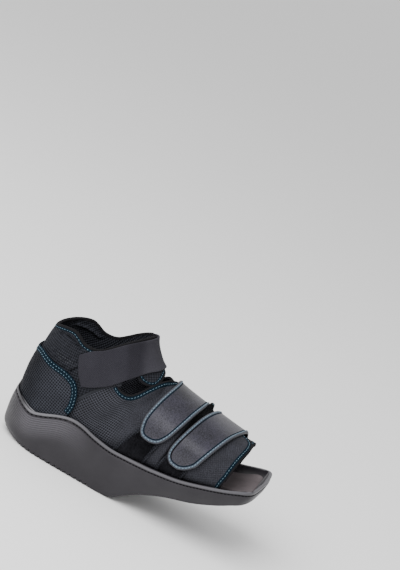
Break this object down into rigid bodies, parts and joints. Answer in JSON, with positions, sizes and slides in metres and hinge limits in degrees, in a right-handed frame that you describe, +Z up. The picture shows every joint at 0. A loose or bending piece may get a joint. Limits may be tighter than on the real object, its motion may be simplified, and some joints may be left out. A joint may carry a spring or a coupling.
{
  "type": "forefoot relief surgical shoe",
  "caption": "Open-toed post-surgery shoe with a wedge sole that lifts the forefoot, a padded ankle collar, mesh quarters, an ankle strap and hook-and-loop forefoot straps.",
  "frame": {"origin": "on the floor under the middle of the shoe's box, where the shoe stands by itself on its tread", "axes": "+X from heel to toe, +Y to the inner (medial) side, +Z up from the floor"},
  "size_m": [0.2652, 0.1044, 0.1569],
  "materials": {
    "sole_foam": "moulded, fine grain, soft sheen",
    "insole_foam": "smooth cloth over foam",
    "padded_cloth": "matt knitted cloth over padding",
    "mesh_cloth": "square mesh cloth",
    "loop_pile": "short loop pile",
    "strap_leather": "smooth coated, satin",
    "strap_webbing": "matt woven webbing"
  },
  "bodies": {
    "root": {"sole": "sole_foam", "insole": "insole_foam", "ankle_collar": "padded_cloth", "lateral_quarter": "mesh_cloth", "medial_quarter": "mesh_cloth", "heel_counter": "mesh_cloth", "loop_patch_rear": "loop_pile", "loop_patch_front": "loop_pile", "forefoot_strap_rear": "strap_leather", "forefoot_strap_front": "strap_leather", "ankle_strap": "strap_webbing"}
  },
  "joints": []
}
